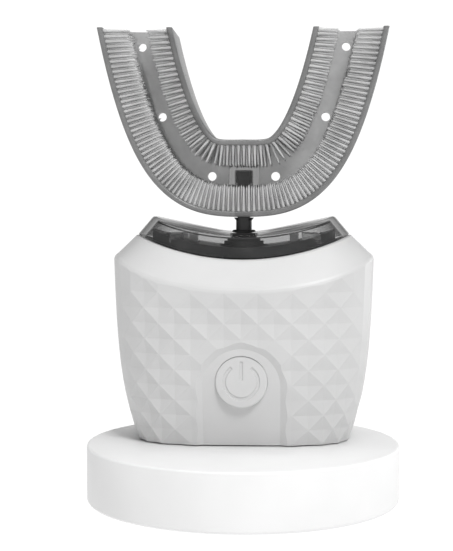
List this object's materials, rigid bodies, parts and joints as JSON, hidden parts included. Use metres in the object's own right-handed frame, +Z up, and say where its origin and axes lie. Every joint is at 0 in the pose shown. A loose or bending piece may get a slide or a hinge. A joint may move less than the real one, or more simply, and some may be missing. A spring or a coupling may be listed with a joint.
{
  "type": "electric toothbrush on charger",
  "caption": "U-shaped mouthpiece electric toothbrush with a smoky see-through collar and faceted white handle, standing on a round white induction charging dock.",
  "frame": {"origin": "centre of the dock's footprint on the surface it stands on", "axes": "+Z up, the power button and the front of the mouthpiece face -Y, +X is to the right seen from the front"},
  "size_m": [0.07, 0.07, 0.1054],
  "materials": {
    "white_shell": "satin white injection-moulded ABS",
    "white_button": "satin white button with a recessed power symbol",
    "grey_plastic": "matt mid-grey structural plastic",
    "black_plastic": "near-black plastic with a soft sheen",
    "smoky_plastic": "glossy see-through smoke-grey polycarbonate",
    "clear_plastic": "clear moulded plastic",
    "silicone": "translucent smoke-grey soft silicone",
    "black_rubber": "matt black rubber",
    "ferrite": "matt dark ferrite",
    "copper_winding": "enamelled copper winding",
    "steel_parts": "plated steel",
    "cell_sleeve": "shrink sleeve on the cell",
    "circuit_board": "green solder mask"
  },
  "bodies": {
    "dock": {"dock_shell": "white_shell", "dock_floor": "grey_plastic", "dock_board": "circuit_board", "dock_inlet": "steel_parts", "dock_coil": "copper_winding", "dock_ferrite": "ferrite", "coil_cradle": "grey_plastic", "dock_foot_1": "black_rubber", "dock_foot_2": "black_rubber", "dock_foot_3": "black_rubber", "dock_foot_4": "black_rubber", "dock_screw_1": "steel_parts", "dock_screw_2": "steel_parts", "dock_screw_3": "steel_parts", "dock_screw_4": "steel_parts"},
    "handle": {"body_shell": "white_shell", "base_cap": "white_shell", "base_seal": "black_rubber", "receiver_coil": "copper_winding", "receiver_ferrite": "ferrite", "chassis": "grey_plastic", "battery_cell": "cell_sleeve", "main_board": "circuit_board", "board_screw_left": "steel_parts", "board_screw_right": "steel_parts", "tact_switch": "black_plastic", "button_seal": "silicone", "motor_can": "steel_parts", "motor_bracket": "grey_plastic", "top_deck": "grey_plastic"},
    "button": {"button_cap": "white_button"},
    "plunger": {"switch_plunger": "black_plastic"},
    "rotor": {"motor_shaft": "steel_parts", "crank": "steel_parts"},
    "head": {"collar": "smoky_plastic", "head_base": "black_plastic", "head_latch_left": "clear_plastic", "head_latch_right": "clear_plastic", "stem_boot": "black_rubber", "pivot_pin": "steel_parts"},
    "mouthpiece": {"stem_frame": "black_plastic", "mouthpiece_tray": "silicone"}
  },
  "joints": [
    {"name": "handle_lift", "type": "slide", "parent": "dock", "child": "handle", "axis": [0, 0, 1], "range_m": [0, 0.06]},
    {"name": "button_press", "type": "slide", "parent": "handle", "child": "button", "axis": [0, 1, 0], "range_m": [0, 0.0008], "stiffness_N_per_m": 800},
    {"name": "plunger_travel", "type": "slide", "parent": "handle", "child": "plunger", "axis": [0, 1, 0], "range_m": [0, 0.0008]},
    {"name": "motor_spin", "type": "hinge", "parent": "handle", "child": "rotor", "pos_m": [0, 0.006, 0.0455], "axis": [0, 0, 1], "continuous": true},
    {"name": "head_release", "type": "slide", "parent": "handle", "child": "head", "axis": [0, 0, 1], "range_m": [0, 0.03]},
    {"name": "mouthpiece_swing", "type": "hinge", "parent": "head", "child": "mouthpiece", "pos_m": [0, 0.006, 0.0557], "axis": [0, 1, 0], "range_deg": [-3, 3], "stiffness_Nm_per_rad": 0.05}
  ],
  "couplings": [
    {"joint": "plunger_travel", "follows": "button_press", "ratio": 1}
  ]
}
